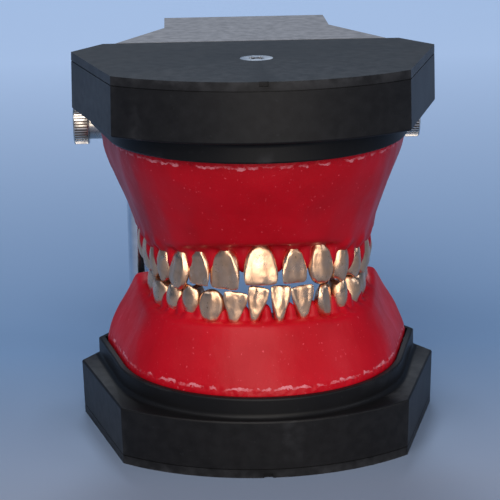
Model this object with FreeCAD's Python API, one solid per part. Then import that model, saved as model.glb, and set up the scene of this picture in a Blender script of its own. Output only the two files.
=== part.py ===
"""Orthodontic wax typodont: two plastic bases, wax rims that hold cast metal teeth, and a hinge frame.

X is to the right, Y is to the back and Z is up, in millimetres. The origin is on the bench, on the
middle plane, below the line that joins the two front corners of the lower base.
Both bases are the same moulding. It is drawn the lower way up and mirrored for the upper jaw.
"""
import FreeCAD, Part
import math
import os
from FreeCAD import Placement, Rotation, Vector

# Overall sizes
HEIGHT = 108.8            # bench to the top of the upper base
FRONT_HALF = 40.0         # half the chord of the curved front
FRONT_BULGE = 14.0        # how far the front curves out of its chord
SIDE_HALF = 52.5          # half the width at the widest corners
SIDE_BACK = 43.0          # the widest corners, behind the front chord
HEEL_HALF = 43.7          # half the length of the straight back edge
BASE_BACK = 57.2          # the straight back edge, behind the front chord

# Plastic bases
FLANGE = 16.4             # height of the base's side
DRAFT = 0.35              # the side leans in by this over its height
COVER = 2.5               # thickness of the cover that closes the shell
WALL = 3.0                # side wall and deck of the shell
EDGE_ROUND = 0.6          # rounding of the moulded outer edges
SEAM = 0.25               # bevel of both edges at the cover's joint
COLLAR = 5.6              # height of the oval wall round the wax
COLLAR_WALL = 1.7
COLLAR_LEDGE = 2.0        # least distance from the collar to the flange's edge
COLLAR_FOOT = 1.3         # concave foot of the collar
BOSS = 6.5                # radius of the tray screw's boss
TAB_BOSS = 5.0            # radius of the tab screws' bosses
NOTCH = (2.4, 0.6)        # midline mark on the cover's front edge: width and depth
REGISTER = 1.6            # height and width of the cover's locating rib
SLIP = 0.15               # clearance of pieces that drop into each other

# Tray and its screw
ARCH_RADIUS = 40.0        # outside of the wax at the collar
ARCH_CENTRE = 30.4
ARCH_FLARE = 13.5         # degrees that each side of the arch opens to the back
WAX_GAP = 0.4             # wax to the collar's inside
TRAY = 2.5
TRAY_RIB = (3.5, 2.5)     # rib that grips the wax: width and height
TRAY_BOSS = (5.0, 5.0)    # tapped boss: radius and height above the tray
SCREW_Y = 25.0            # the tray screw, behind the front chord
SCREW = 2.0               # radius of the tray screw
SCREW_HEAD = 4.6          # radius of its flat head
SCREW_CLEAR = 0.25

# Bite
BITE_LOW = 46.0           # the curve of the bite: its lowest height,
BITE_LOW_Y = 32.0         # where that is,
BITE_RISE = 4.0           # and its rise towards the incisors,
BITE_RUN = 30.0           # over this length
BITE_GAP = 0.35           # from the bite to each tooth's edge

# Wax rims
GUM_RADIUS = 31.5         # outside of the rims at the gum
GUM_CENTRE = 33.5
GUM_FLARE = 9.6           # degrees, for the gum and the teeth
LOWER_RISE = BITE_LOW - 3.0 - FLANGE - COLLAR            # from the collars' edges to the gum
UPPER_RISE = HEIGHT - FLANGE - COLLAR - BITE_LOW - 7.8
# (height above the collar's edge, outside radius, arch centre, flare in degrees)
LOWER_WAX = ((0.0, ARCH_RADIUS, ARCH_CENTRE, ARCH_FLARE), (0.286 * LOWER_RISE, 38.3, 31.8, 12.5),
             (0.524 * LOWER_RISE, 35.8, 32.4, 11.4), (0.762 * LOWER_RISE, 33.5, 33.0, 10.5),
             (LOWER_RISE, GUM_RADIUS, GUM_CENTRE, GUM_FLARE))
UPPER_WAX = ((0.0, ARCH_RADIUS, ARCH_CENTRE, ARCH_FLARE), (0.212 * UPPER_RISE, 39.3, 31.2, 12.8),
             (0.424 * UPPER_RISE, 37.2, 32.0, 12.0), (0.667 * UPPER_RISE, 34.5, 32.8, 10.8),
             (UPPER_RISE, GUM_RADIUS, GUM_CENTRE, GUM_FLARE))
WAX_BACK = 52.0           # back end of both rims
WAX_WIDTH = 12.8          # the rim across the gum
WAX_FOOT = 2.0            # how much wider the rim's inside is at the tray

# Teeth
# jaw: (radius, centre) of the line through the points where neighbouring teeth meet
TOOTH_ARCH = {"upper": (29.5, 33.5), "lower": (28.0, 32.0)}
MEET = 0.15               # that line is this share of the thickness in front of a tooth's middle
GUM = {"upper": (11.2, 8.0), "lower": (10.2, 5.6)}    # gum to bite, at the incisors and at the back
GUM_BACK_Y = 45.0         # where the second of these holds
# kind: (width, thickness, crown height, root length, edge share of the thickness)
KINDS = {
    "upper_central_incisor": (8.5, 7.0, 11.2, 12.0, 0.16),
    "upper_lateral_incisor": (6.7, 6.2, 9.8, 11.5, 0.16),
    "upper_canine": (7.7, 7.8, 11.4, 12.5, 0.20),
    "upper_first_premolar": (7.0, 9.0, 9.2, 11.5, 0.62),
    "upper_second_premolar": (6.7, 9.0, 8.8, 11.5, 0.62),
    "upper_first_molar": (10.0, 10.8, 8.6, 11.0, 0.72),
    "upper_second_molar": (9.2, 10.6, 8.2, 10.5, 0.72),
    "lower_central_incisor": (5.3, 6.0, 10.2, 8.5, 0.18),
    "lower_lateral_incisor": (5.7, 6.3, 9.6, 9.5, 0.18),
    "lower_canine": (6.6, 7.4, 9.8, 10.5, 0.22),
    "lower_first_premolar": (6.8, 7.8, 7.4, 10.5, 0.60),
    "lower_second_premolar": (7.0, 8.2, 6.8, 10.5, 0.62),
    "lower_first_molar": (10.6, 10.2, 6.4, 10.0, 0.72),
    "lower_second_molar": (10.0, 10.0, 6.4, 9.5, 0.72)}
ORDER = ("central_incisor", "lateral_incisor", "canine", "first_premolar", "second_premolar",
         "first_molar", "second_molar")
MIDLINE = {"upper": -5.25, "lower": 1.35}     # the set-up's midlines stand off the middle
# each side's gaps before the teeth, and their turns in degrees, from the midline back
GAPS = {("upper", "right"): (0.15, 1.4, 1.2, 0.4, 0.4, 0.5, 0.3),
        ("upper", "left"): (0.2, 0.25, 0.25, 0.35, 0.5, 0.3, 0.3),
        ("lower", "right"): (0.4, 1.0, 0.7, 0.4, 0.4, 0.4, 0.3),
        ("lower", "left"): (0.4, 0.5, 0.5, 0.5, 0.4, 0.4, 0.3)}
TURNS = {("upper", "right"): (0.0, 3.0, -6.0, 8.0, 0.0, 0.0, 0.0),
         ("upper", "left"): (-7.0, 6.0, 5.0, 0.0, 0.0, 0.0, 0.0),
         ("lower", "right"): (0.0, -4.0, 25.0, -6.0, 0.0, 0.0, 0.0),
         ("lower", "left"): (4.0, -5.0, -8.0, 6.0, 0.0, 0.0, 0.0)}

# Hinge frame
PLATE = 2.5               # sheet thickness of both hinge plates
PLATE_FRONT = 39.7        # half width of the plates where they leave the bases
PLATE_GAP = 0.15
TAB = (34.0, 13.0, 4.5)   # tab inside a base: half width, depth, and length of the step outside
TONGUE_HALF = 25.5
TONGUE_FRONT = 87.0
TONGUE_BACK = 109.3
LOWER_PLATE = (42.6, 64.0, 108.0, 4.0)        # half width, where it starts and ends, corner
AXIS_Y = 98.0             # the hinge's axis
AXIS_Z = 77.0
EAR = 9.0                 # radius of the ears round the rod
ROD = 5.0                 # radius of the hinge rod between the columns
JOURNAL = 3.5             # radius of its ends
RUNNING = 0.05            # radial clearance of the journals
COLUMN = 3.4              # radius of the columns
COLUMN_X = 35.8
HEAD_WIDTH = 10.0         # hinge heads on the columns, along the axis
HEAD = 7.0                # their radius round the axis
HEAD_DROP = 15.0          # their foot below the axis
COLUMN_IN = 7.0           # how far a column goes into its head
COLUMN_SCREW = (2.0, 4.0, 9.0)                # radius, head radius and length
TAB_SCREW = (1.5, 3.0, 8.0)
TAB_SCREW_X = 24.0
SIDE_PLAY = 0.1           # each side of the hinge heads
ROD_PROUD = 0.05          # how far the rod's ends stand out of the heads
WASHER = (6.0, 0.8)       # outer radius and thickness
THUMB_NECK = (4.75, 8.5)  # radius and length
THUMB_HEAD = (6.4, 5.0)
THUMB_SHANK = (1.95, 10.0)
THREAD_PLAY = 0.05
WASHER_PLAY = 0.25
KNURL = (36, 0.35)        # grooves round a thumbscrew's head, and their depth

NEAR = 0.01               # how close two places count as one
UP = Vector(0, 0, 1)
RIGHT = Vector(1, 0, 0)


def export(shape, node):
    """Write one node, after checking that it is sound."""
    if not shape.isValid() or shape.Volume <= 0:
        raise ValueError("unsound shape: " + node)
    shape.exportStep("parts/" + node + ".step")


def mirrored(shape):
    """Turn a lower piece into the upper one."""
    return shape.mirror(Vector(0, 0, HEIGHT / 2), UP)


def closed(points):
    """Straight-sided face through points (x, y) at height 0."""
    corners = [Vector(x, y, 0) for x, y in points]
    return Part.Face(Part.makePolygon(corners + corners[:1]))


def base_face(inset=0.0):
    """Outline of a base: curved front, two sides, two heels and a straight back."""
    left, right = Vector(-FRONT_HALF, 0, 0), Vector(FRONT_HALF, 0, 0)
    front = Part.Arc(left, Vector(0, -FRONT_BULGE, 0), right).toShape()
    rest = [right, Vector(SIDE_HALF, SIDE_BACK, 0), Vector(HEEL_HALF, BASE_BACK, 0),
            Vector(-HEEL_HALF, BASE_BACK, 0), Vector(-SIDE_HALF, SIDE_BACK, 0), left]
    face = Part.Face(Part.Wire([front] + Part.makePolygon(rest).Edges))
    return face.makeOffset2D(-inset, 2) if inset else face


def arch_wire(radius, centre, flare, back, height=0.0):
    """Outline of an arch: round front, two sides that open by flare, and a straight back."""
    lean = math.radians(flare)
    x, y = radius * math.cos(lean), centre - radius * math.sin(lean)
    end = x + math.tan(lean) * (back - y)
    left, right = Vector(-x, y, height), Vector(x, y, height)
    front = Part.Arc(left, Vector(0, centre - radius, height), right).toShape()
    sides = Part.makePolygon([right, Vector(end, back, height), Vector(-end, back, height), left])
    return Part.Wire([front] + sides.Edges)


def collar_face(inset):
    """Outline of the collar's outside, moved in by inset."""
    radius = ARCH_RADIUS + WAX_GAP + COLLAR_WALL - inset
    arch = Part.Face(arch_wire(radius, ARCH_CENTRE, ARCH_FLARE, BASE_BACK - COLLAR_LEDGE - inset))
    return arch.common(base_face(COLLAR_LEDGE + inset)).Faces[0]


def prism(face, bottom, top):
    """Upright solid on a face drawn at height 0."""
    raised = face.copy()
    raised.translate(Vector(0, 0, bottom))
    return raised.extrude(Vector(0, 0, top - bottom))


def on_screw(radius, bottom, top):
    """Cylinder on the tray screw's axis."""
    return Part.makeCylinder(radius, top - bottom, Vector(0, SCREW_Y, bottom))


def round_outer(block):
    """Round the moulded edges: the side corners and the rim on the wax side."""
    edges = []
    for edge in block.Edges:
        low, high = edge.BoundBox.ZMin, edge.BoundBox.ZMax
        if high - low > FLANGE / 2 or low > FLANGE - NEAR:
            edges.append(edge)
    return block.makeFillet(EDGE_ROUND, edges)


def base_block():
    """Solid base with its draft and rounded edges, without the collar."""
    low = base_face(DRAFT).OuterWire
    high = base_face(0.001).OuterWire
    high.translate(Vector(0, 0, FLANGE))
    return round_outer(Part.makeLoft([low, high], True, True))


def seam_band(centre):
    """V-shaped groove round the base at height centre."""
    outer = base_face(-WALL)
    inner = base_face(DRAFT + SEAM)
    return prism(outer.cut(inner), centre - SEAM / 2, centre + SEAM / 2)


def tab_space(slip):
    """Room for the hinge plate's tab, inside a base."""
    half, depth, _ = TAB
    return Part.makeBox(2 * (half + slip), depth + slip + WALL, PLATE + slip,
                        Vector(-half - slip, BASE_BACK - depth - slip, COVER))


def tab_screw_places():
    """The two tab screws."""
    return [Vector(side * TAB_SCREW_X, BASE_BACK - TAB[1] / 2 - WALL / 2, COVER) for side in (-1, 1)]


def base_shell():
    """Moulded shell with deck, collar and bosses."""
    shell = base_block()
    collar = prism(collar_face(0.0), FLANGE - WALL / 2, FLANGE + COLLAR)
    shell = shell.fuse(collar).removeSplitter()
    foot = [e for e in shell.Edges if abs(e.BoundBox.ZMax - FLANGE) < NEAR
            and e.BoundBox.ZLength < NEAR and is_on(e, collar)]
    shell = shell.makeFillet(COLLAR_FOOT, foot)
    rim = [e for e in shell.Edges if e.BoundBox.ZMin > FLANGE + COLLAR - NEAR]
    shell = shell.makeFillet(COLLAR_WALL / 3, rim)
    shell = shell.cut(prism(collar_face(COLLAR_WALL), FLANGE, FLANGE + COLLAR + 1))
    room = prism(base_face(WALL + DRAFT), 0, FLANGE - WALL)
    room = room.cut(on_screw(BOSS, 0, FLANGE))
    for place in tab_screw_places():
        foot = place + Vector(0, 0, PLATE)
        room = room.cut(Part.makeCylinder(TAB_BOSS, FLANGE - foot.z, foot))
        shell = shell.cut(Part.makeCylinder(TAB_SCREW[0], TAB_SCREW[2] - PLATE + 1, foot))
    screw_hole = on_screw(SCREW + SCREW_CLEAR, 0, FLANGE + 1)
    for piece in (room, cover_layer(), tab_space(SLIP), screw_hole, seam_band(COVER)):
        shell = shell.cut(piece)
    return shell


def cover_layer():
    """Everything between the bench and the cover's joint."""
    return Part.makeBox(4 * SIDE_HALF, 4 * BASE_BACK, COVER, Vector(-2 * SIDE_HALF, -2 * BASE_BACK, 0))


def is_on(edge, solid):
    """Whether an edge lies on a solid's skin."""
    middle = edge.valueAt((edge.FirstParameter + edge.LastParameter) / 2)
    return Part.Vertex(middle).distToShape(solid.Shells[0])[0] < NEAR


def cover():
    """Cover with its locating rib, screw hole and midline mark."""
    lid = base_block().common(cover_layer())
    lip = base_face(WALL + DRAFT + SLIP)
    rib = prism(lip.cut(base_face(WALL + DRAFT + SLIP + REGISTER)), COVER - 0.01, COVER + REGISTER)
    rib = rib.cut(tab_space(4 * SLIP))
    lid = lid.fuse(rib)
    width, depth = NOTCH
    notch = Part.makeBox(width, depth + 1, COVER, Vector(-width / 2, DRAFT - FRONT_BULGE - 1, -COVER / 2))
    sink = Part.makeCone(SCREW_HEAD, SCREW, SCREW_HEAD - SCREW, Vector(0, SCREW_Y, 0))
    for piece in (notch, sink, on_screw(SCREW + SCREW_CLEAR, 0, COVER + 1), seam_band(COVER)):
        lid = lid.cut(piece)
    return lid


def flat_head_screw(radius, head, length):
    """Flat head screw, head down at height 0, with a cross recess."""
    screw = Part.makeCylinder(radius, length).fuse(Part.makeCone(head, radius, head - radius))
    arm, width = head * 0.55, head * 0.16
    for turn in (45, 135):
        recess = Part.makeBox(2 * arm, 2 * width, radius * 0.6, Vector(-arm, -width, 0))
        recess.rotate(Vector(0, 0, 0), UP, turn)
        screw = screw.cut(recess)
    return screw.removeSplitter()


def tray_screw():
    """Screw that holds cover, base and tray together."""
    screw = flat_head_screw(SCREW, SCREW_HEAD, FLANGE + TRAY + TRAY_BOSS[1] - 0.5)
    screw.translate(Vector(0, SCREW_Y, 0))
    return screw


def wax_tray():
    """Metal tray in the collar, with a rib for the wax and a tapped boss."""
    plate = prism(collar_face(COLLAR_WALL + SLIP), FLANGE, FLANGE + TRAY)
    width, height = TRAY_RIB
    middle = GUM_RADIUS - WAX_WIDTH / 2
    outer = Part.Face(arch_wire(middle + width / 2, GUM_CENTRE, GUM_FLARE, WAX_BACK - width))
    inner = Part.Face(arch_wire(middle - width / 2, GUM_CENTRE, GUM_FLARE, WAX_BACK))
    rib = prism(outer.cut(inner), FLANGE + TRAY, FLANGE + TRAY + height)
    radius, rise = TRAY_BOSS
    tray = plate.fuse(rib).fuse(on_screw(radius, FLANGE, FLANGE + TRAY + rise))
    return tray.cut(on_screw(SCREW, FLANGE - 1, FLANGE + TRAY + rise + 1)).removeSplitter()


def wax_rim(levels):
    """Horseshoe of wax on its tray, before the tooth sockets are made."""
    edge = FLANGE + COLLAR
    wires = [arch_wire(*level[1:], WAX_BACK, edge + level[0]) for level in levels]
    body = Part.makeLoft(wires, True, False)
    foot = prism(Part.Face(arch_wire(*levels[0][1:], WAX_BACK)), FLANGE + TRAY, edge)
    body = body.fuse(foot).common(prism(collar_face(COLLAR_WALL + WAX_GAP), 0, HEIGHT))
    top = edge + levels[-1][0]
    inside = GUM_RADIUS - WAX_WIDTH
    space = Part.makeLoft([arch_wire(inside - WAX_FOOT, GUM_CENTRE, GUM_FLARE, BASE_BACK + 9, FLANGE),
                           arch_wire(inside, GUM_CENTRE, GUM_FLARE, BASE_BACK + 9, top + 1)], True, True)
    return body.cut(space).cut(wax_tray()).removeSplitter()


def bite(y):
    """Height of the bite at y."""
    return BITE_LOW + BITE_RISE * ((y - BITE_LOW_Y) / BITE_RUN) ** 2


def tooth(kind):
    """Plain tooth: neck at height 0, edge up, outer face towards -Y, meeting its neighbours at Y = 0."""
    width, thick, crown, root, edge = KINDS[kind]
    sections = ((-root, 0.16, 0.16, 0.0), (0.0, 0.40, 0.42, 0.0), (0.4 * crown, 0.495, 0.48, 0.0),
                (0.8 * crown, 0.485, max(edge, 0.3) * 0.66, 0.10), (crown, 0.44, edge / 2, 0.14))
    wires = []
    for height, across, deep, lean in sections:
        wires.append(section(width * across, thick * deep, -thick * lean * (1 - edge), height))
    body = Part.makeLoft(wires, True, False)
    body.translate(Vector(0, thick * MEET, 0))
    return body


def beyond_gum(jaw):
    """Everything past the gum line of a jaw, to be cut off its wax."""
    sign = 1 if jaw == "lower" else -1
    near, far = GUM[jaw]
    front = GUM_CENTRE - GUM_RADIUS
    points = []
    for step in range(7):
        y = front + (GUM_BACK_Y - front) * step / 6
        drop = near + (far - near) * step / 6
        points.append(Vector(-SIDE_HALF, y, bite(y) - sign * drop))
    curve = Part.BSplineCurve()
    curve.interpolate(Points=points)
    before, after = points[0] - Vector(0, 3 * FRONT_BULGE, 0), points[-1] + Vector(0, BASE_BACK, 0)
    far_side = Vector(0, 0, sign * HEIGHT)
    ends = [points[-1], after, after + far_side, before + far_side, before, points[0]]
    wire = Part.Wire([curve.toShape()] + Part.makePolygon(ends).Edges)
    return Part.Face(wire).extrude(Vector(2 * SIDE_HALF, 0, 0))


def section(half_x, half_y, shift, height):
    """Closed wire of a tooth's section: flat outer face, widest just behind it, narrow inner face."""
    right = ((1.0, -2 * MEET), (0.66, 0.62), (0.0, 1.0))
    shares = right + tuple((-x, y) for x, y in right[1::-1]) + ((-0.62, -0.88), (0.0, -1.0), (0.62, -0.88))
    points = [Vector(half_x * x, half_y * y + shift, height) for x, y in shares]
    curve = Part.BSplineCurve()
    curve.interpolate(Points=points, PeriodicFlag=True)
    return Part.Wire([curve.toShape()])


def arch_place(jaw, along):
    """Point of a tooth arch at a length from its middle, and its turn in degrees."""
    radius, centre = TOOTH_ARCH[jaw]
    lean = math.radians(GUM_FLARE)
    bend = (math.pi / 2 - lean) * radius
    length = min(abs(along), bend)
    angle = length / radius
    spare = abs(along) - length
    x = radius * math.sin(angle) + spare * math.sin(lean)
    y = centre - radius * math.cos(angle) + spare * math.cos(lean)
    side = 1 if along >= 0 else -1
    return side * x, y, side * math.degrees(angle)


def place_tooth(jaw, kind, along, turn):
    """Stand one tooth in its arch."""
    body = tooth(kind)
    x, y, angle = arch_place(jaw, along)
    crown = KINDS[kind][2]
    if jaw == "upper":
        body = body.mirror(Vector(0, 0, 0), UP)
        height = bite(y) + BITE_GAP + crown
    else:
        height = bite(y) - BITE_GAP - crown
    body.Placement = Placement(Vector(x, y, height), Rotation(UP, angle + turn)).multiply(body.Placement)
    return body


def teeth(jaw):
    """All fourteen teeth of a jaw, by node name."""
    found = {}
    for side, sign in (("left", -1), ("right", 1)):
        along = MIDLINE[jaw] * sign
        for name, gap, turn in zip(ORDER, GAPS[jaw, side], TURNS[jaw, side]):
            kind = jaw + "_" + name
            width = KINDS[kind][0]
            along += gap + width / 2
            found[jaw + "_" + side + "_" + name] = place_tooth(jaw, kind, sign * along, sign * turn)
            along += width / 2
    return found


def joggled_tab():
    """Inner part of a hinge plate: a tab in the base and the step outside it."""
    half, depth, step = TAB
    tab = Part.makeBox(2 * half, depth + step, PLATE, Vector(-half, BASE_BACK - depth, COVER))
    for place in tab_screw_places():
        radius, head, _ = TAB_SCREW
        tab = tab.cut(Part.makeCylinder(radius, PLATE, place))
        tab = tab.cut(Part.makeCone(head, radius, head - radius, place))
    return tab


def tab_screws():
    """The two screws through a tab, as one group."""
    group = []
    for place in tab_screw_places():
        screw = flat_head_screw(*TAB_SCREW)
        screw.translate(place)
        group.append(screw)
    return Part.makeCompound(group)


def upper_hinge_plate():
    """Upper plate: tapered sheet, tongue, and two ears bent down to the rod."""
    front = BASE_BACK + PLATE_GAP
    right = [(PLATE_FRONT, front), (TONGUE_HALF, TONGUE_FRONT), (TONGUE_HALF, TONGUE_BACK)]
    outline = right + [(-x, y) for x, y in reversed(right)]
    plate = prism(closed(outline), 0, PLATE).fuse(joggled_tab())
    plate = mirrored(plate)
    for side in (-1, 1):
        start = Vector(side * TONGUE_HALF - (PLATE if side > 0 else 0), AXIS_Y, AXIS_Z)
        ear = Part.makeCylinder(EAR, PLATE, start, RIGHT)
        ear = ear.fuse(Part.makeBox(PLATE, 2 * EAR, HEIGHT - AXIS_Z, start - Vector(0, EAR, 0)))
        plate = plate.fuse(ear)
    bore = Part.makeCylinder(ROD, 4 * TONGUE_HALF, Vector(-2 * TONGUE_HALF, AXIS_Y, AXIS_Z), RIGHT)
    plate = plate.cut(bore)
    return plate.removeSplitter()


def lower_hinge_plate():
    """Lower plate: it carries the columns."""
    front = BASE_BACK + PLATE_GAP
    half, start, end, corner = LOWER_PLATE
    right = [(PLATE_FRONT, front), (half, start), (half, end - corner), (half - corner, end)]
    outline = right + [(-x, y) for x, y in reversed(right)]
    plate = prism(closed(outline), 0, PLATE).fuse(joggled_tab())
    radius, head, _ = COLUMN_SCREW
    for side in (-1, 1):
        foot = Vector(side * COLUMN_X, AXIS_Y, 0)
        plate = plate.cut(Part.makeCylinder(radius, PLATE, foot))
        plate = plate.cut(Part.makeCone(head, radius, head - radius, foot))
    return plate.removeSplitter()


def column(side):
    """Round column, tapped at its foot."""
    foot = Vector(side * COLUMN_X, AXIS_Y, PLATE)
    top = AXIS_Z - HEAD_DROP + COLUMN_IN
    post = Part.makeCylinder(COLUMN, top - PLATE, foot)
    return post.cut(Part.makeCylinder(COLUMN_SCREW[0], COLUMN_SCREW[2] - PLATE, foot))


def column_screws():
    """The two screws under the columns, as one group."""
    group = []
    for side in (-1, 1):
        screw = flat_head_screw(*COLUMN_SCREW)
        screw.translate(Vector(side * COLUMN_X, AXIS_Y, 0))
        group.append(screw)
    return Part.makeCompound(group)


def hinge_head(side):
    """Bearing on top of a column."""
    start = Vector(side * COLUMN_X - HEAD_WIDTH / 2, AXIS_Y, AXIS_Z)
    head = Part.makeCylinder(HEAD, HEAD_WIDTH, start, RIGHT)
    head = head.fuse(Part.makeBox(HEAD_WIDTH, 2 * HEAD, HEAD_DROP, start - Vector(0, HEAD, HEAD_DROP)))
    head = head.cut(Part.makeCylinder(JOURNAL + RUNNING, HEAD_WIDTH, start, RIGHT))
    foot = Vector(side * COLUMN_X, AXIS_Y, AXIS_Z - HEAD_DROP)
    return head.cut(Part.makeCylinder(COLUMN, COLUMN_IN, foot)).removeSplitter()


def hinge_rod():
    """Rod in the ears, stepped down to a tapped journal at each end."""
    shoulder = COLUMN_X - HEAD_WIDTH / 2 - SIDE_PLAY
    end = COLUMN_X + HEAD_WIDTH / 2 + ROD_PROUD
    centre = Vector(0, AXIS_Y, AXIS_Z)
    rod = Part.makeCylinder(ROD, 2 * shoulder, centre - Vector(shoulder, 0, 0), RIGHT)
    rod = rod.fuse(Part.makeCylinder(JOURNAL, 2 * end, centre - Vector(end, 0, 0), RIGHT))
    radius, length = THUMB_SHANK
    for side in (-1, 1):
        mouth = centre + Vector(side * end, 0, 0)
        rod = rod.cut(Part.makeCylinder(radius + THREAD_PLAY, length + 1, mouth, Vector(-side, 0, 0)))
    return rod.removeSplitter()


def washer(side):
    """Washer between a hinge head and its thumbscrew."""
    radius, thick = WASHER
    start = Vector(side * (COLUMN_X + HEAD_WIDTH / 2 + SIDE_PLAY), AXIS_Y, AXIS_Z)
    out = Vector(side, 0, 0)
    ring = Part.makeCylinder(radius, thick, start, out)
    return ring.cut(Part.makeCylinder(THUMB_SHANK[0] + WASHER_PLAY, thick, start, out))


def thumbscrew(side):
    """Knurled thumbscrew: shank, neck and head."""
    seat = COLUMN_X + HEAD_WIDTH / 2 + SIDE_PLAY + WASHER[1]
    out = Vector(side, 0, 0)
    start = Vector(side * seat, AXIS_Y, AXIS_Z)
    neck, neck_length = THUMB_NECK
    head, head_length = THUMB_HEAD
    shank, shank_length = THUMB_SHANK
    screw = Part.makeCylinder(head, head_length, start + out * neck_length, out)
    count, depth = KNURL
    for index in range(count):
        angle = 2 * math.pi * index / count
        groove = Part.makeCylinder(depth, head_length, start + out * neck_length, out)
        groove.translate(Vector(0, head * math.cos(angle), head * math.sin(angle)))
        screw = screw.cut(groove)
    screw = screw.fuse(Part.makeCylinder(neck, neck_length, start, out))
    screw = screw.fuse(Part.makeCylinder(shank, shank_length, start, Vector(-side, 0, 0)))
    return screw.removeSplitter()


def build_jaw(jaw, levels):
    """Base, tray, wax and teeth of one jaw."""
    turned = mirrored if jaw == "upper" else (lambda shape: shape)
    export(turned(base_shell()), jaw + "_base")
    export(turned(cover()), jaw + "_cover")
    export(turned(wax_tray()), jaw + "_wax_tray")
    export(turned(tray_screw()), jaw + "_tray_screw")
    export(turned(tab_screws()), jaw + "_plate_screws")
    rim = turned(wax_rim(levels)).cut(beyond_gum(jaw))
    for node, body in teeth(jaw).items():
        rim = rim.cut(body)
        export(body, node)
    export(rim, jaw + "_wax_rim")


def build_hinge():
    """Plates, columns, rod and thumbscrews."""
    export(upper_hinge_plate(), "upper_hinge_plate")
    export(lower_hinge_plate(), "lower_hinge_plate")
    export(hinge_rod(), "hinge_rod")
    export(column_screws(), "column_screws")
    for name, side in (("left", -1), ("right", 1)):
        export(column(side), name + "_column")
        export(hinge_head(side), name + "_hinge_head")
        export(washer(side), name + "_washer")
        export(thumbscrew(side), name + "_thumbscrew")


os.makedirs("parts", exist_ok=True)
build_jaw("lower", LOWER_WAX)
build_jaw("upper", UPPER_WAX)
build_hinge()
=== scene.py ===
"""Looks of an orthodontic wax typodont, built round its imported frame.

Metres throughout, with sizes given as millimetres times MM. The front is -Y and the bench is Z = 0.
The bases, plates, columns and screws keep the frame's shapes. The cast teeth, the wax rims and the
thumbscrews are modelled here in place of the frame's plain ones.
"""
import math

import bmesh
import bpy
from mathutils import Matrix, Vector


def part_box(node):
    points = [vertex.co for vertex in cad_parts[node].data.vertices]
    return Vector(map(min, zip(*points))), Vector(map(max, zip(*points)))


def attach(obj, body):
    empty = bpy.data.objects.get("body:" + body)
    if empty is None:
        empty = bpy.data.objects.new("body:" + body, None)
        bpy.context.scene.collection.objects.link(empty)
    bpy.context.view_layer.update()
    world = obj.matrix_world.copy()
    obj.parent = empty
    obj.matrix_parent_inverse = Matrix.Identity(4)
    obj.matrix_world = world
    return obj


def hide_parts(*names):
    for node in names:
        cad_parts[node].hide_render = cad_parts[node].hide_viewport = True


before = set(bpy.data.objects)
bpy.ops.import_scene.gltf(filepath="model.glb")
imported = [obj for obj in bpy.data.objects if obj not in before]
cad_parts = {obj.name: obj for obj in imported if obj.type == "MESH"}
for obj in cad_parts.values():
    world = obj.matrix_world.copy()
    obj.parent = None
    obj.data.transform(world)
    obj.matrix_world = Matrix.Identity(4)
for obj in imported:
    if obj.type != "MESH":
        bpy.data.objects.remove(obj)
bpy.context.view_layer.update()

MM = 0.001
JAWS = ("lower", "upper")
SIDES = (("left", -1), ("right", 1))

# Cast teeth: width, depth from front to back, crown height and root length
TOOTH_SIZES = {
    "upper_central_incisor": (8.5, 6.6, 11.2, 10.0),
    "upper_lateral_incisor": (6.7, 5.8, 9.8, 10.0),
    "upper_canine": (7.7, 7.4, 11.4, 11.0),
    "upper_first_premolar": (7.0, 9.0, 9.2, 9.0),
    "upper_second_premolar": (6.7, 9.0, 8.8, 9.0),
    "upper_first_molar": (10.0, 10.8, 8.6, 9.0),
    "upper_second_molar": (9.2, 10.6, 8.2, 8.5),
    "lower_central_incisor": (5.5, 5.6, 10.2, 8.5),
    "lower_lateral_incisor": (6.1, 5.9, 9.6, 8.5),
    "lower_canine": (7.0, 7.0, 9.8, 9.0),
    "lower_first_premolar": (6.8, 7.8, 7.6, 8.5),
    "lower_second_premolar": (7.0, 8.2, 7.0, 8.5),
    "lower_first_molar": (10.6, 10.2, 6.6, 8.0),
    "lower_second_molar": (10.0, 10.0, 6.6, 8.0)}
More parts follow.
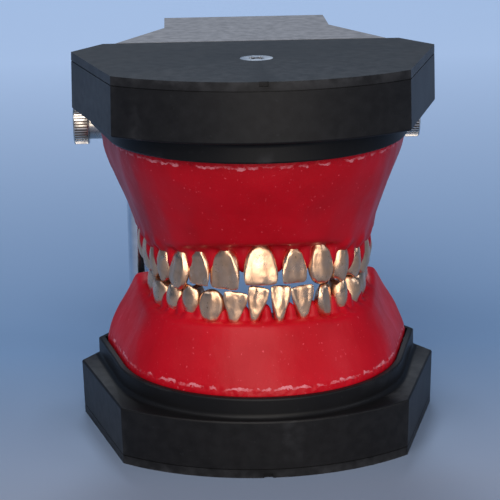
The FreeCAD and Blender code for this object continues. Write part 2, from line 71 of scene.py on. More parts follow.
# Sections up a tooth: share of the crown (below 0, of the root), of the width, of the depth,
# and how far the section stands forward, as a share of the depth
TOOTH_FORMS = {
    "upper_incisor": (
        (-1.0, 0.14, 0.20, 0.0), (-0.40, 0.26, 0.52, 0.0), (0.0, 0.38, 0.84, 0.0),
        (0.09, 0.62, 0.95, 0.01), (0.22, 0.83, 0.88, 0.06), (0.46, 0.97, 0.62, 0.16),
        (0.74, 1.02, 0.38, 0.24), (0.92, 0.98, 0.22, 0.27), (1.0, 0.84, 0.13, 0.28)),
    "lower_incisor": (
        (-1.0, 0.14, 0.20, 0.0), (-0.45, 0.30, 0.55, 0.0), (0.0, 0.40, 0.88, 0.0),
        (0.12, 0.54, 0.96, 0.01), (0.30, 0.70, 0.86, 0.06), (0.54, 0.88, 0.60, 0.16),
        (0.80, 1.00, 0.36, 0.24), (0.94, 1.01, 0.22, 0.27), (1.0, 0.93, 0.13, 0.28)),
    "canine": (
        (-1.0, 0.14, 0.20, 0.0), (-0.40, 0.30, 0.55, 0.0), (0.0, 0.42, 0.84, 0.0),
        (0.10, 0.66, 0.96, 0.0), (0.26, 0.88, 0.92, 0.03), (0.50, 1.03, 0.70, 0.10),
        (0.74, 0.98, 0.46, 0.17), (0.90, 0.70, 0.28, 0.20), (1.0, 0.34, 0.16, 0.20)),
    "premolar": (
        (-1.0, 0.18, 0.20, 0.0), (-0.45, 0.46, 0.58, 0.0), (0.0, 0.64, 0.84, 0.0), (0.14, 0.80, 0.94, 0.0),
        (0.36, 0.96, 1.0, 0.0), (0.62, 1.0, 0.94, 0.0), (0.82, 0.90, 0.80, 0.0), (0.90, 0.74, 0.66, 0.0)),
    "molar": (
        (-1.0, 0.40, 0.40, 0.0), (-0.45, 0.66, 0.68, 0.0), (0.0, 0.80, 0.86, 0.0), (0.16, 0.92, 0.95, 0.0),
        (0.42, 1.0, 1.0, 0.0), (0.66, 1.0, 0.96, 0.0), (0.84, 0.93, 0.86, 0.0), (0.93, 0.80, 0.74, 0.0))}
TOOTH_SPOKES = 16         # vertices round a tooth before it is smoothed
TOOTH_SMOOTH = 2
OUTER_SIDE = (1.14, 0.86)  # a section's outer side is this much wider and flatter than round
INNER_SIDE = 0.86         # its inner side is this much narrower
# Cusps on the chewing end: place as shares of half the width and depth, and height
CUSPS = {
    "premolar": ((0.0, -0.62, 1.3 * MM), (0.0, 0.62, 0.6 * MM)),
    "molar": ((-0.58, -0.58, 0.9 * MM), (0.58, -0.58, 0.9 * MM),
              (-0.58, 0.58, 0.7 * MM), (0.58, 0.58, 0.7 * MM))}
CUSP_REACH = 0.24         # radius of a cusp, as a share of the tooth's depth
FOSSA = 1.0 * MM          # depth of the hollow between the cusps
FOSSA_STEPS = ((0.16, 0.4), (0.14, 0.6))      # its two insets: share of the width and of its depth
FACE_FLAT = 0.3           # how much of the outer face's curve is left on a front tooth
FACE_CREASE = 0.5         # sharpness of the border of that face
BORDER = (math.radians(32), math.radians(60))  # where that border runs, round the tooth from its middle
BACK_HOLLOW = 0.07        # depth of the hollow in a front tooth's inner face, as a share of the tooth's
RIDGE = 0.5 * MM          # upright ridge on a canine's outer face
GROOVE = 0.25 * MM        # two upright grooves on an incisor's
CAST_UNEVEN = (2.4 * MM, 0.34 * MM)           # size and depth of the casting's unevenness

# The arch: centre of the round front, and the most that its ends turn, in degrees
ARCH_CENTRE = {"upper": 33.5 * MM, "lower": 32.0 * MM}
ARCH_TURN = 80.4
# How single teeth stand off the arch: turn about their height, lean in their own face and tip of that face
# upwards, in degrees, how far they stand towards the bite, in millimetres, and how wide they are
STANCE = {
    "upper_left_central_incisor": (-9, 1, 0, 1.2, 1.02), "upper_right_central_incisor": (4, -1, 9, 0.4, 1.08),
    "upper_left_lateral_incisor": (-10, 2, 0, 0.1, 1.04),
    "upper_right_lateral_incisor": (5, -2, 2, 0.0, 1.04),
    "upper_left_canine": (-10, -7, 5, 1.9, 1.04), "upper_right_canine": (-8, 2, 4, 0.6, 1.0),
    "upper_right_first_premolar": (10, 0, 0, 0.2, 1.0), "upper_left_first_premolar": (6, -4, 0, 0.0, 1.0),
    "lower_left_central_incisor": (-6, 10, 4, 0.0, 1.0), "lower_right_central_incisor": (2, 4, 8, 0.0, 1.0),
    "lower_left_lateral_incisor": (7, 5, 0, -1.2, 1.04),
    "lower_right_lateral_incisor": (-6, -3, 3, 0.0, 1.04),
    "lower_left_canine": (9, 5, 2, -0.6, 1.08), "lower_right_canine": (27, -4, 4, 0.3, 1.0),
    "lower_left_first_premolar": (-8, -6, 0, 0.4, 1.0), "lower_right_first_premolar": (-8, 5, 0, 0.4, 0.82),
    "lower_right_second_premolar": (-50, 0, 8, 0.4, 1.2)}

# Wax
GUM_FILL = (0.3 * MM, 0.52)                   # in a socket: height over the neck, half widths per tooth width
# Between two teeth: half its width and depth as shares of theirs, its half height, and how far its middle
# stands from the necks towards the bite
PAPILLA = {"upper": (0.33, 0.42, 6.4 * MM, 1.2 * MM), "lower": (0.32, 0.42, 5.0 * MM, 0.2 * MM)}
PAPILLA_OUT = 0.15 * MM   # how far its middle stands towards the lips
# Round a neck: how far it stands out at the sides and in front, its half height, and its depth below the neck
NECK_WAX = (0.8 * MM, 0.9 * MM, 4.0 * MM, 3.2 * MM)
NECK_DEPTH = 8.4 * MM     # a deeper tooth's wax stands out no further than that of one this deep
# Over a root: half width per tooth width, half depth, rise, half height, and its middle's depth below the neck
# as a share of that half height
SWELL = (0.42, 2.4 * MM, 0.6 * MM, 6.0 * MM, 0.85)
WELD = 0.002 * MM         # corners of the frame's triangles this close are one
BODY_VOXEL = 0.8 * MM     # first, rounding remesh of the horseshoe
BODY_SMOOTH = 26
WAX_VOXEL = 0.5 * MM
WAX_SMOOTH = 14
WAX_UNEVEN = (11 * MM, 0.45 * MM)             # size and depth of hand-smoothed waves
WAX_EDGE = (1.8 * MM, 1.1 * MM, 0.7 * MM)     # ragged edge at the collar: height, grain and depth
FLASH_HIGHLIGHT = (1.5 * MM, 0.35 * MM)                  # painted highlight, a pale line where a ridge of flash wax catches the light: height over the collar, half its width
FLASH_HIGHLIGHT_WANDER = 0.6 * MM    # how far that line strays up and down
# colour of that painted highlight
FLASH_HIGHLIGHT_COLOUR = (0.60, 0.17, 0.20, 1)

# Thumbscrews
KNURLS = 44
KNURL_DEPTH = 0.32 * MM
KNURL_EDGE = 0.12 * MM
KNURL_FACE = 0.02         # a knurled face is larger than this share of the head's length times its radius
HEAD_LENGTH = 5.0 * MM
HEAD_BEVEL = 0.45 * MM
HEAD_DISH = (1.6 * MM, 0.5 * MM, 0.5 * MM)    # in its end: rim, slope and depth
NECK_RADIUS = 4.75 * MM
NECK_LENGTH = 8.5 * MM
SHANK_RADIUS = 1.95 * MM

# Stage
FLOOR_SIZE = 40
FLOOR_AT = (0, 2, 0)
FLOOR_PAINTED_SHADE = ((0.19, 0.23, 0.31, 1), (0.13, 0.22, 0.37, 1), (0.50, 0.62, 0.82, 1))    # from near to far: darker near and in the middle as painted shade, pale far off
FLOOR_NEAR = (-0.02, 0.10)                    # from which Y to which the first changes to the second,
FLOOR_FAR = (0.12, 0.70)                      # and the second to the third
MODEL_MIDDLE = (0, 0.03, 0.05)
# Lights: place, where it points, size, power and colour
LIGHTS = {
    "key": ((-0.20, -0.80, 1.10), MODEL_MIDDLE, 0.9, 11, (1.0, 0.96, 0.92)),
    "front": ((0.10, -0.95, 0.25), MODEL_MIDDLE, 0.8, 7.5, (1.0, 0.92, 0.82)),
    "fill": ((1.0, -0.30, 0.60), MODEL_MIDDLE, 0.5, 2.0, (0.85, 0.92, 1.0)),
    "left": ((-1.0, -0.2, 0.80), MODEL_MIDDLE, 0.4, 1.0, (0.85, 0.92, 1.0)),
    "backdrop": ((0.0, 2.6, 3.2), (0, 2.4, 0), 1.0, 95, (0.82, 0.91, 1.0))}
SKY = ((0.30, 0.55, 1.0, 1), 0.17)            # colour and strength

# Camera: place, turn to the right, tilt down and roll in degrees, and lens
CAMERA_AT = Vector((-0.0231, -0.4689, 0.1883))
CAMERA_TURN = 2.38
CAMERA_DOWN = 15.22
CAMERA_ROLL = -0.85
CAMERA_LENS = 129.6


def deselect():
    """Leave no object selected."""
    bpy.ops.object.select_all(action="DESELECT")


def only(piece):
    """Make one piece the selected and active one."""
    deselect()
    piece.select_set(True)
    bpy.context.view_layer.objects.active = piece


def edit(mode="VERT"):
    """Open the active piece in edit mode with nothing selected."""
    bpy.ops.object.mode_set(mode="EDIT")
    bpy.ops.mesh.select_mode(type=mode)
    bpy.ops.mesh.select_all(action="DESELECT")


def close():
    """Leave edit mode."""
    bpy.ops.object.mode_set(mode="OBJECT")


def pick(kind, test):
    """Select what passes the test in edit mode: "verts", "edges" or "faces"."""
    mesh = bmesh.from_edit_mesh(bpy.context.edit_object.data)
    for item in getattr(mesh, kind):
        item.select_set(bool(test(item)))
    mesh.select_flush_mode()
    bmesh.update_edit_mesh(bpy.context.edit_object.data)


def apply(piece, kind, **settings):
    """Add a modifier with its settings and apply it."""
    only(piece)
    modifier = piece.modifiers.new(kind.lower(), kind)
    for name, value in settings.items():
        setattr(modifier, name, value)
    bpy.ops.object.modifier_apply(modifier=modifier.name)


def settle(piece):
    """Put a piece's place, turn and scale into its mesh."""
    only(piece)
    bpy.ops.object.transform_apply(location=True, rotation=True, scale=True)


def lumps(name, size, depth=2):
    """Noise for uneven surfaces."""
    texture = bpy.data.textures.new(name, "CLOUDS")
    texture.noise_scale = size
    texture.noise_depth = depth
    return texture


def grow(levels):
    """Extrude the selected face through levels of (height, width, depth, forward), all in metres."""
    for (low, was_wide, was_deep, was_at), (high, wide, deep, at) in zip(levels, levels[1:]):
        bpy.ops.mesh.extrude_region_move(TRANSFORM_OT_translate={"value": (0, was_at - at, high - low)})
        bpy.ops.transform.resize(value=(wide / was_wide, deep / was_deep, 1), center_override=(0, -at, high))


def tooth_form(kind):
    """Which of the tooth forms a kind has."""
    jaw, *_, group = kind.split("_")
    return f"{jaw}_{group}" if group == "incisor" else group


def cast_tooth(kind):
    """One kind of cast tooth: neck at height 0, edge up, outer face towards -Y."""
    width, depth, crown, root = (size * MM for size in TOOTH_SIZES[kind])
    form = tooth_form(kind)
    levels = [(share * (crown if share > 0 else root), width * across, depth * deep, depth * ahead)
              for share, across, deep, ahead in TOOTH_FORMS[form]]
    height, wide, deep, at = levels[0]
    bpy.ops.mesh.primitive_circle_add(vertices=TOOTH_SPOKES, radius=0.5, fill_type="NGON",
                                      location=(0, -at, height))
    piece = bpy.context.object
    piece.name = kind
    piece.scale = (wide, deep, 1)
    settle(piece)
    edit()
    pick("verts", lambda v: v.co.y < -0.3 * deep / 2)
    bpy.ops.transform.resize(value=(*OUTER_SIDE, 1), center_override=(0, 0, height))
    pick("verts", lambda v: v.co.y > 0.3 * deep / 2)
    bpy.ops.transform.resize(value=(INNER_SIDE, 1, 1), center_override=(0, 0, height))
    bpy.ops.mesh.select_all(action="SELECT")
    grow(levels)
    if form in CUSPS:
        chewing_end(levels[-1], CUSPS[form])
    else:
        cutting_end(form, width, depth, crown)
    close()
    apply(piece, "SUBSURF", levels=TOOTH_SMOOTH, render_levels=TOOTH_SMOOTH)
    only(piece)
    edit()
    bpy.ops.mesh.select_all(action="SELECT")
    bpy.ops.mesh.normals_make_consistent(inside=False)
    close()
    return piece


def chewing_end(level, cusps):
    """Hollow the top and raise its cusps. The top face is selected."""
    top, wide, deep, _ = level
    for share, deeper in FOSSA_STEPS:
        bpy.ops.mesh.inset(thickness=share * wide, depth=-deeper * FOSSA)
    for across, back, rise in cusps:
        place = Vector((across * wide / 2, back * deep / 2, top))
        pick("verts", lambda v: v.co.z > top - 2 * FOSSA and (v.co - place).xy.length < CUSP_REACH * deep)
        bpy.ops.transform.translate(value=(0, 0, rise))


def cutting_end(form, width, depth, crown):
    """Flatten the outer face inside a crisp border, hollow the inner one, and groove or ridge the outer one."""
    front = -0.5 * depth
    pick("verts", lambda v: v.co.y < 0.5 * front and 0.08 * crown < v.co.z < 0.97 * crown)
    bpy.ops.transform.resize(value=(1, FACE_FLAT, 1), center_override=(0, 0.84 * front, 0))
    bpy.ops.mesh.select_mode(type="EDGE")
    pick("edges", lambda e: all(v.co.y < 0.5 * front and v.co.z > 0.05 * crown for v in e.verts)
         and is_border(e, crown))
    bpy.ops.transform.edge_crease(value=FACE_CREASE)
    bpy.ops.mesh.select_mode(type="VERT")
    pick("verts", lambda v: v.co.y > -0.1 * depth and 0.5 * crown < v.co.z < 0.7 * crown)
    bpy.ops.transform.translate(value=(0, -BACK_HOLLOW * depth, 0))
    if form == "canine":
        pick("verts", lambda v: abs(v.co.x) < 0.05 * width and v.co.y < 0.2 * front and v.co.z > 0.1 * crown)
        bpy.ops.transform.translate(value=(0, -RIDGE, 0))
    else:
        pick("verts", lambda v: 0.10 * width < abs(v.co.x) < 0.26 * width and v.co.z > 0.45 * crown
             and v.co.y < 0.5 * front)
        bpy.ops.transform.translate(value=(0, GROOVE, 0))


def is_border(item, crown):
    """Whether an upright edge runs along the border of the outer face."""
    one, other = (v.co for v in item.verts)
    if abs(one.z - other.z) < 0.02 * crown:
        return False
    spokes = [abs(math.atan2(co.x, -co.y)) for co in (one, other)]
    return all(BORDER[0] < spoke < BORDER[1] for spoke in spokes)


def stand(jaw, side, name):
    """Where one tooth stands: a matrix from its own frame, neck at 0, to the frame's."""
    node = f"{jaw}_{side}_{name}"
    kind = f"{jaw}_{name}"
    crown = TOOTH_SIZES[kind][2] * MM
    low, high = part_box(node)
    middle = (low + high) / 2
    sign = -1 if side == "left" else 1
    arch = math.degrees(math.atan2(abs(middle.x), ARCH_CENTRE[jaw] - middle.y))
    turn, lean, tip, drop, wide = STANCE.get(node, (0, 0, 0, 0, 1))
    around = sign * min(arch, ARCH_TURN) + turn
    flip = Matrix.Identity(4) if jaw == "lower" else Matrix.Scale(-1, 4, (0, 0, 1))
    neck = high.z - crown + drop * MM if jaw == "lower" else low.z + crown - drop * MM
    place = Matrix.Translation((middle.x, middle.y, neck))
    mirror = Matrix.Scale(-1, 4, (1, 0, 0)) if side == "left" else Matrix.Identity(4)
    pivot = Matrix.Translation((0, 0, crown / 2))
    tipped = Matrix.Rotation(math.radians(-tip if jaw == "lower" else tip), 4, "X")
    leant = pivot @ Matrix.Rotation(math.radians(lean), 4, "Y") @ tipped @ pivot.inverted()
    width = Matrix.Scale(wide, 4, (1, 0, 0))
    return place @ Matrix.Rotation(math.radians(around), 4, "Z") @ flip @ leant @ width @ mirror


def place_tooth(model, jaw, side, name, metal):
    """Copy a kind's model to one place, with its own unevenness."""
    node = f"{jaw}_{side}_{name}"
    piece = model.copy()
    piece.data = model.data.copy()
    piece.name = node + "_cast"
    bpy.context.collection.objects.link(piece)
    matrix = stand(jaw, side, name)
    piece.data.transform(matrix)
    if matrix.determinant() < 0:
        piece.data.flip_normals()
    size, deep = CAST_UNEVEN
    apply(piece, "DISPLACE", texture=lumps("casting", size), strength=deep, mid_level=0.5,
          texture_coords="GLOBAL")
    bpy.ops.object.shade_smooth()
    dress(piece, metal)
    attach(piece, jaw + "_jaw")
    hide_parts(node)
    return matrix


def blob(place, half, turn):
    """Rounded lump of wax with half sizes along its own axes."""
    bpy.ops.mesh.primitive_ico_sphere_add(subdivisions=3, radius=1.0, location=place, rotation=(0, 0, turn))
    bpy.context.object.scale = half
    return bpy.context.object


def wax_lumps(jaw, places):
    """Wax that fills the sockets, and wax that swells round the necks and over the roots."""
    fills, swells = [], []
    up = Vector((0, 0, 1 if jaw == "lower" else -1))
    over, fill = GUM_FILL
    wide, proud, high, below = NECK_WAX
    share, thick, rise, tall, low = SWELL
    for (_, name), matrix in places.items():
        width, depth, _, root = (size * MM for size in TOOTH_SIZES[f"{jaw}_{name}"])
        neck = matrix.translation
        outward = (matrix.to_3x3() @ Vector((0, -1, 0))).normalized()
        turn = math.atan2(outward.x, -outward.y)
        half = root / 2
        front = min(depth, NECK_DEPTH) / 2
        fills.append(blob(neck + up * (over - half), (fill * width, fill * depth, half), turn))
        swells.append(blob(neck - up * below, (width / 2 + wide, front + proud, high), turn))
        root_face = neck + outward * (front + rise - thick) - up * (tall * low)
        swells.append(blob(root_face, (share * width, thick, tall), turn))
    return fills, swells


def papillae(jaw, places):
    """Wax between neighbouring teeth."""
    found = []
    names = [name for side, name in places if side == "left"]
    row = [("left", name) for name in reversed(names)] + [("right", name) for name in names]
    wide, deep, tall, rise = PAPILLA[jaw]
    up = Vector((0, 0, rise if jaw == "lower" else -rise))
    for one, other in zip(row, row[1:]):
        first, second = (places[key].translation for key in (one, other))
        sizes = [TOOTH_SIZES[f"{jaw}_{name}"] for _, name in (one, other)]
        width, depth = ((sizes[0][axis] + sizes[1][axis]) / 2 * MM for axis in (0, 1))
        middle = first.lerp(second, sizes[0][0] / (sizes[0][0] + sizes[1][0]))
        along = (second - first).normalized()
        outward = Vector((along.y, -along.x, 0)) * PAPILLA_OUT
        turn = math.atan2(along.y, along.x)
        found.append(blob(middle + up + outward, (wide * width, deep * depth, tall), turn))
    return found


def join(base, others):
    """Join pieces into the first one."""
    only(base)
    for piece in others:
        piece.select_set(True)
    bpy.ops.object.join()


def wax_rim(jaw, places, wax):
    """Wax rim: the frame's horseshoe, rounded off, with its sockets filled and its gums built up."""
    node = jaw + "_wax_rim"
    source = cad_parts[node]
    rim = bpy.data.objects.new(node + "_waxed", source.data.copy())
    bpy.context.collection.objects.link(rim)
    only(rim)
    edit()
    bpy.ops.mesh.select_all(action="SELECT")
    bpy.ops.mesh.remove_doubles(threshold=WELD)
    close()
    fills, swells = wax_lumps(jaw, places)
    join(rim, fills)
    apply(rim, "REMESH", mode="VOXEL", voxel_size=BODY_VOXEL)
    apply(rim, "SMOOTH", factor=0.5, iterations=BODY_SMOOTH)
    join(rim, swells + papillae(jaw, places))
    apply(rim, "REMESH", mode="VOXEL", voxel_size=WAX_VOXEL)
    apply(rim, "SMOOTH", factor=0.5, iterations=WAX_SMOOTH)
    size, deep = WAX_UNEVEN
    apply(rim, "DISPLACE", texture=lumps("waves", size), strength=deep, mid_level=0.5,
          texture_coords="GLOBAL")
    ragged_edge(rim, jaw)
    bpy.ops.object.shade_smooth()
    dress(rim, wax)
    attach(rim, jaw + "_jaw")
    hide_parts(node)


def ragged_edge(rim, jaw):
    """Roughen the wax where it leaves the collar."""
    low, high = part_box(jaw + "_base")
    edge = high.z if jaw == "lower" else low.z
    up = 1 if jaw == "lower" else -1
    tall, grain, deep = WAX_EDGE
    group = rim.vertex_groups.new(name="edge")
    for vertex in rim.data.vertices:
        above = (vertex.co.z - edge) * up
        weight = 1 - abs(above - tall / 2) / tall
        if weight > 0:
            group.add([vertex.index], weight, "REPLACE")
    apply(rim, "DISPLACE", texture=lumps("ragged", grain, 1), strength=deep, mid_level=0.45,
          texture_coords="GLOBAL", vertex_group="edge")


def thumbscrew(side, sign, metal):
    """Thumbscrew turned on the lathe, with a straight knurl and a bevelled head."""
    node = side + "_thumbscrew"
    low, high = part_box(node)
    radius = (high.z - low.z) / 2
    centre = (low + high) / 2
    outer = high.x if sign > 0 else -low.x
    shank = (high.x - low.x) - HEAD_LENGTH - NECK_LENGTH
    deselect()
    bpy.ops.mesh.primitive_cylinder_add(vertices=2 * KNURLS, radius=radius, depth=HEAD_LENGTH)
    piece = bpy.context.object
    piece.name = node + "_turned"
    edit("EDGE")
    pick("edges", lambda e: abs(e.verts[0].co.z - e.verts[1].co.z) < 1e-6)
    bpy.ops.mesh.bevel(offset=HEAD_BEVEL, segments=3, affect="EDGES")
    bpy.ops.mesh.select_mode(type="FACE")
    pick("faces", lambda f: abs(f.normal.z) < 0.1 and f.calc_area() > HEAD_LENGTH * radius * KNURL_FACE
         and knurl_index(f) % 2 == 0)
    bpy.ops.mesh.inset(thickness=KNURL_EDGE, depth=-KNURL_DEPTH, use_individual=True)
    pick("faces", lambda f: f.normal.z > 0.9 and len(f.verts) > 8)
    rim, slope, deep = HEAD_DISH
    bpy.ops.mesh.inset(thickness=rim)
    bpy.ops.mesh.inset(thickness=slope, depth=-deep)
    pick("faces", lambda f: f.normal.z < -0.9 and len(f.verts) > 8)
    bpy.ops.mesh.inset(thickness=radius - HEAD_BEVEL - NECK_RADIUS)
    bpy.ops.mesh.extrude_region_move(TRANSFORM_OT_translate={"value": (0, 0, -NECK_LENGTH)})
    bpy.ops.mesh.inset(thickness=NECK_RADIUS - SHANK_RADIUS)
    bpy.ops.mesh.extrude_region_move(TRANSFORM_OT_translate={"value": (0, 0, -shank)})
    close()
    piece.matrix_world = (Matrix.Translation((sign * (outer - HEAD_LENGTH / 2), centre.y, centre.z))
                          @ Matrix.Rotation(sign * math.pi / 2, 4, "Y"))
    settle(piece)
    bpy.ops.object.shade_smooth_by_angle(angle=math.radians(30))
    dress(piece, metal)
    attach(piece, side + "_thumbscrew")
    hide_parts(node)


def knurl_index(face):
    """Number of a face round the head."""
    centre = face.calc_center_median()
    return math.floor(math.atan2(centre.y, centre.x) / (math.pi / KNURLS))


def dress(piece, material):
    """Give a piece one material."""
    piece.data.materials.clear()
    piece.data.materials.append(material)


# ---- finishes ----

def node_group(name, inputs, outputs):
    """Empty shader group with number sockets."""
    tree = bpy.data.node_groups.new(name, "ShaderNodeTree")
    for label, value in inputs.items():
        tree.interface.new_socket(label, in_out="INPUT", socket_type="NodeSocketFloat").default_value = value
    for label in outputs:
        tree.interface.new_socket(label, in_out="OUTPUT", socket_type="NodeSocketFloat")
    return tree, tree.nodes.new("NodeGroupInput"), tree.nodes.new("NodeGroupOutput")


def add(tree, kind, inputs=None, **settings):
    """Add a node, set its properties, and set or link its inputs."""
    made = tree.nodes.new("ShaderNode" + kind)
    for name, value in settings.items():
        setattr(made, name, value)
    for name, value in (inputs or {}).items():
        if isinstance(value, bpy.types.NodeSocket):
            tree.links.new(value, made.inputs[name])
        else:
            made.inputs[name].default_value = value
    return made


def spread(tree, value, low, high, to_low=0.0, to_high=1.0):
    """Map a range to another, clamped."""
    made = add(tree, "MapRange", {"From Min": low, "From Max": high, "To Min": to_low, "To Max": to_high})
    tree.links.new(value, made.inputs["Value"])
    return made.outputs["Result"]


def math_node(tree, operation, one, other):
    """Two numbers or sockets into one."""
    return add(tree, "Math", {0: one, 1: other}, operation=operation).outputs[0]


def apart(tree, one, other):
    """How far apart two numbers are."""
    return math_node(tree, "ABSOLUTE", math_node(tree, "SUBTRACT", one, other), 0.0)


def mix_colour(tree, share, one, other):
    """Blend two colours by share."""
    made = add(tree, "Mix", data_type="RGBA")
    for index, value in ((0, share), (6, one), (7, other)):
        if isinstance(value, bpy.types.NodeSocket):
            tree.links.new(value, made.inputs[index])
        else:
            made.inputs[index].default_value = value
    return made.outputs[2]


def grain_group():
    """Fine grain over broad mottling: a height, a mask of the mottling and a mask of specks."""
    tree, source, result = node_group(
        "surface_grain",
        {"Grain X": 1500.0, "Grain Y": 1500.0, "Grain Z": 1500.0, "Mottle": 120.0, "Specks": 900.0},
        ("Height", "Mottling", "Specks"))
    place = add(tree, "TexCoord").outputs["Object"]
    scale = add(tree, "CombineXYZ", {axis: source.outputs["Grain " + axis] for axis in "XYZ"})
    fine_at = add(tree, "VectorMath", {0: place, 1: scale.outputs[0]}, operation="MULTIPLY").outputs[0]
    fine = add(tree, "TexNoise", {"Vector": fine_at, "Scale": 1.0, "Detail": 4.0, "Roughness": 0.6})
    broad = add(tree, "TexNoise", {"Vector": place, "Scale": source.outputs["Mottle"], "Detail": 5.0})
    specks = add(tree, "TexNoise", {"Vector": place, "Scale": source.outputs["Specks"], "Detail": 1.0})
    tree.links.new(fine.outputs["Fac"], result.inputs["Height"])
    tree.links.new(spread(tree, broad.outputs["Fac"], 0.35, 0.68), result.inputs["Mottling"])
    tree.links.new(spread(tree, specks.outputs["Fac"], 0.70, 0.80), result.inputs["Specks"])
    return tree


def edge_group():
    """Masks of outer edges, lightened for wear and as a painted highlight, and of hollows, darkened as painted
    shade.
    """
    tree, source, result = node_group("edge_wear", {"Low": 0.52, "High": 0.60, "Breakup": 350.0},
                                      ("Worn", "Hollow"))
    point = add(tree, "NewGeometry").outputs["Pointiness"]
    place = add(tree, "TexCoord").outputs["Object"]
    noise = add(tree, "TexNoise", {"Vector": place, "Scale": source.outputs["Breakup"], "Detail": 3.0})
    # outer edges, where pointiness is high: lighter for wear and as a painted highlight
    edge = add(tree, "MapRange", {"Value": point, "From Min": source.outputs["Low"],
                                  "From Max": source.outputs["High"]}).outputs["Result"]
    broken = spread(tree, noise.outputs["Fac"], 0.35, 0.65, 0.25, 1.0)
    tree.links.new(math_node(tree, "MULTIPLY", edge, broken), result.inputs["Worn"])
    # hollows, where pointiness is low: darker as painted shade
    tree.links.new(spread(tree, point, 0.5, 0.42), result.inputs["Hollow"])
    return tree


def flash_highlight_group():
    """Broken pale line of painted highlight, where a ridge of flash wax catches the light, at one height off
    the middle of the model, the same above and below it.
    """
    tree, source, result = node_group(
        "wax_bead", {"Middle": 0.05, "Reach": 0.03, "Half": 0.0005, "Breakup": 400.0}, ("Bead",))
    place = add(tree, "TexCoord").outputs["Object"]
    height = add(tree, "SeparateXYZ", {0: place}).outputs["Z"]
    noise = add(tree, "TexNoise", {"Vector": place, "Scale": source.outputs["Breakup"],
                                   "Detail": 4.0}).outputs["Fac"]
    off = apart(tree, height, source.outputs["Middle"])
    strayed = math_node(tree, "ADD", off, spread(tree, noise, 0.3, 0.7, -FLASH_HIGHLIGHT_WANDER, FLASH_HIGHLIGHT_WANDER))
    away = apart(tree, strayed, source.outputs["Reach"])
    band = math_node(tree, "LESS_THAN", away, source.outputs["Half"])
    tree.links.new(math_node(tree, "MULTIPLY", band, spread(tree, noise, 0.44, 0.62)), result.inputs["Bead"])
    return tree


def add_flash_highlight(material, groups):
    """Lay the pale line of painted highlight, for the flash wax's ridge, over a finished wax."""
    tree = material.node_tree
    shader = tree.nodes["Principled BSDF"]
    below = shader.inputs["Base Color"].links[0].from_socket
    over, half = FLASH_HIGHLIGHT
    middle = (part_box("lower_base")[0][2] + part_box("upper_base")[1][2]) / 2
    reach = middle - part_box("lower_base")[1][2] - over
    flash_highlight = add(tree, "Group", node_tree=groups["flash_highlight"])
    for label, value in (("Middle", middle), ("Reach", reach), ("Half", half)):
        flash_highlight.inputs[label].default_value = value
    tree.links.new(mix_colour(tree, flash_highlight.outputs["Bead"], below, FLASH_HIGHLIGHT_COLOUR), shader.inputs["Base Color"])


def finish_of(name, groups, colours, grain, rough, bump, metal, sockets):
    """Material from a base colour, its mottled second colour, and its grain, edges and roughness.

    colours: main, mottled, speck, edge (wear and a painted highlight), hollow (painted shade); grain: inputs of
    the grain group;
    rough: least and most roughness; bump: depth of the grain; sockets: the shader's own, the same all over.
    """
    material = bpy.data.materials.new(name)
    material.use_nodes = True
    tree = material.node_tree
    shader = tree.nodes["Principled BSDF"]
    main, mottled, speck, wear_and_highlight, hollow = [(*colour, 1.0) for colour in colours]
    surface = add(tree, "Group", node_tree=groups["grain"])
    for label, value in grain.items():
        surface.inputs[label].default_value = value
    edges = add(tree, "Group", node_tree=groups["edges"])
    colour = mix_colour(tree, surface.outputs["Mottling"], main, mottled)
    colour = mix_colour(tree, surface.outputs["Specks"], colour, speck)
    # darker in the hollows: painted shade
    colour = mix_colour(tree, edges.outputs["Hollow"], colour, hollow)
    # lighter on outer edges: wear and a painted highlight
    colour = mix_colour(tree, edges.outputs["Worn"], colour, wear_and_highlight)
    tree.links.new(colour, shader.inputs["Base Color"])
    tree.links.new(spread(tree, surface.outputs["Mottling"], 0.0, 1.0, *rough), shader.inputs["Roughness"])
    relief = add(tree, "Bump", {"Height": surface.outputs["Height"], "Strength": 1.0, "Distance": bump})
    tree.links.new(relief.outputs["Normal"], shader.inputs["Normal"])
    shader.inputs["Metallic"].default_value = metal
    for label, value in sockets.items():
        shader.inputs[label].default_value = value
    return material


def grain_of(across, back, up, **others):
    """Inputs of the grain group: fineness along each axis, then any others."""
    return {"Grain X": across, "Grain Y": back, "Grain Z": up, **others}


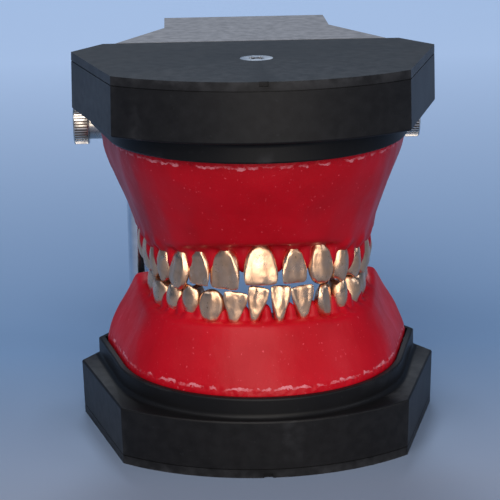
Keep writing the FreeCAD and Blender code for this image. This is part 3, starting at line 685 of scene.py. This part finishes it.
def make_finishes():
    """All of the object's finishes, by slot."""
    groups = {"grain": grain_group(), "edges": edge_group(), "flash_highlight": flash_highlight_group()}
    # main, mottled, speck, edge (lighter for wear and as a painted highlight) and hollow (darker as painted
    # shade)
    black = ((0.0055, 0.0052, 0.0056), (0.0068, 0.0064, 0.0068), (0.012, 0.012, 0.013), (0.026, 0.026, 0.028),
             (0.003, 0.003, 0.003))
    wax = ((0.45, 0.002, 0.010), (0.38, 0.001, 0.007), (0.60, 0.05, 0.07), (0.58, 0.01, 0.025),
           (0.30, 0.001, 0.005))
    # the cast metal's pale edge colour is chiefly a painted highlight
    cast = ((0.90, 0.57, 0.37), (0.72, 0.43, 0.26), (0.42, 0.24, 0.13), (1.0, 0.80, 0.60), (0.24, 0.13, 0.07))
    sheet = ((0.120, 0.115, 0.12), (0.116, 0.111, 0.116), (0.14, 0.135, 0.14), (0.22, 0.21, 0.22),
             (0.10, 0.10, 0.10))
    steel = ((0.72, 0.73, 0.75), (0.62, 0.63, 0.65), (0.5, 0.5, 0.52), (0.85, 0.85, 0.87), (0.2, 0.2, 0.21))
    nickel = ((0.78, 0.72, 0.66), (0.66, 0.61, 0.55), (0.50, 0.46, 0.41), (0.95, 0.91, 0.85),
              (0.10, 0.08, 0.07))
    even = (2600.0, 2600.0, 2600.0)
    # slot: material, colours, grain, least and most roughness, depth of the grain, metal, and sockets
    recipes = {
        "black_plastic": ("black_plastic", black, grain_of(*even, Mottle=90.0), (0.44, 0.47), 0.012 * MM, 0.0,
                          {"Specular IOR Level": 0.16}),
        "red_wax": ("red_wax", wax, grain_of(420.0, 420.0, 300.0, Mottle=70.0, Specks=1100.0), (0.38, 0.48),
                    0.08 * MM, 0.0, {"Specular IOR Level": 0.18}),
        "tooth_metal": ("cast_metal", cast, grain_of(900.0, 900.0, 500.0, Mottle=260.0, Specks=1400.0),
                        (0.24, 0.42), 0.09 * MM, 1.0, {}),
        "plate_metal": ("sheet_metal", sheet, grain_of(3500.0, 200.0, 3500.0, Mottle=60.0), (0.49, 0.51),
                        0.001 * MM, 0.4, {}),
        "polished_steel": ("polished_steel", steel, grain_of(400.0, 400.0, 5000.0), (0.10, 0.2), 0.004 * MM,
                           1.0, {}),
        "nickel": ("nickel", nickel, grain_of(*even, Mottle=300.0), (0.2, 0.34), 0.012 * MM, 1.0, {}),
        "tray_metal": ("tray_metal", steel, grain_of(900.0, 900.0, 900.0), (0.35, 0.5), 0.02 * MM, 1.0, {}),
        "screw_steel": ("screw_steel", steel, grain_of(*even), (0.25, 0.35), 0.008 * MM, 1.0, {})}
    finishes = {}
    for slot, (name, *looks) in recipes.items():
        finishes[slot] = finish_of(name, groups, *looks)
    add_flash_highlight(finishes["red_wax"], groups)
    return finishes


def dress_frame(finishes):
    """Give the frame's own nodes their finishes."""
    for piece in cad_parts.values():
        for slot in piece.material_slots:
            packed = slot.material.name if slot.material else ""
            key = next((name for name in finishes if packed.startswith(name)), "polished_steel")
            slot.material = finishes[key]


# ---- stage ----

def area_light(name, place, target, size, power, colour):
    """Soft square light that faces a target."""
    data = bpy.data.lights.new(name, "AREA")
    data.size = size
    data.energy = power
    data.color = colour
    light = bpy.data.objects.new(name, data)
    bpy.context.collection.objects.link(light)
    light.location = place
    light.rotation_euler = (Vector(target) - Vector(place)).to_track_quat("-Z", "Y").to_euler()


def set_stage():
    """Floor painted with shade, dark near and pale far off, soft lights and the camera."""
    deselect()
    bpy.ops.mesh.primitive_plane_add(size=FLOOR_SIZE, location=FLOOR_AT)
    bpy.ops.object.transform_apply(location=True)
    floor = bpy.context.object
    floor.name = "floor"
    paint = bpy.data.materials.new("floor_paint")
    paint.use_nodes = True
    tree = paint.node_tree
    shader = tree.nodes["Principled BSDF"]
    place = add(tree, "TexCoord").outputs["Object"]
    away = add(tree, "SeparateXYZ", {0: place}).outputs["Y"]
    first, second, third = FLOOR_PAINTED_SHADE
    # painted shade: the floor is darker near the model and pale far off
    near = mix_colour(tree, spread(tree, away, *FLOOR_NEAR), first, second)
    colour = mix_colour(tree, spread(tree, away, *FLOOR_FAR), near, third)
    tree.links.new(colour, shader.inputs["Base Color"])
    shader.inputs["Roughness"].default_value = 0.9
    dress(floor, paint)
    for name, light in LIGHTS.items():
        area_light(name, *light)
    world = bpy.data.worlds.new("studio")
    world.use_nodes = True
    background = world.node_tree.nodes["Background"]
    background.inputs["Color"].default_value, background.inputs["Strength"].default_value = SKY
    bpy.context.scene.world = world
    bpy.context.scene.view_settings.view_transform = "Standard"
    lens = bpy.data.cameras.new("camera")
    lens.lens = CAMERA_LENS
    camera = bpy.data.objects.new("camera", lens)
    bpy.context.collection.objects.link(camera)
    turn, down, roll = (math.radians(angle) for angle in (CAMERA_TURN, CAMERA_DOWN, CAMERA_ROLL))
    camera.matrix_world = (Matrix.Translation(CAMERA_AT) @ Matrix.Rotation(-turn, 4, "Z")
                           @ Matrix.Rotation(math.pi / 2 - down, 4, "X") @ Matrix.Rotation(roll, 4, "Z"))
    bpy.context.scene.camera = camera


deselect()
finishes = make_finishes()
dress_frame(finishes)
set_stage()
models = {kind: cast_tooth(kind) for kind in TOOTH_SIZES}
for jaw in JAWS:
    places = {}
    for side, _ in SIDES:
        for kind in TOOTH_SIZES:
            if kind.startswith(jaw):
                name = kind[len(jaw) + 1:]
                places[side, name] = place_tooth(models[kind], jaw, side, name, finishes["tooth_metal"])
    wax_rim(jaw, places, finishes["red_wax"])
for model in models.values():
    bpy.data.objects.remove(model)
for side, sign in SIDES:
    thumbscrew(side, sign, finishes["nickel"])
deselect()
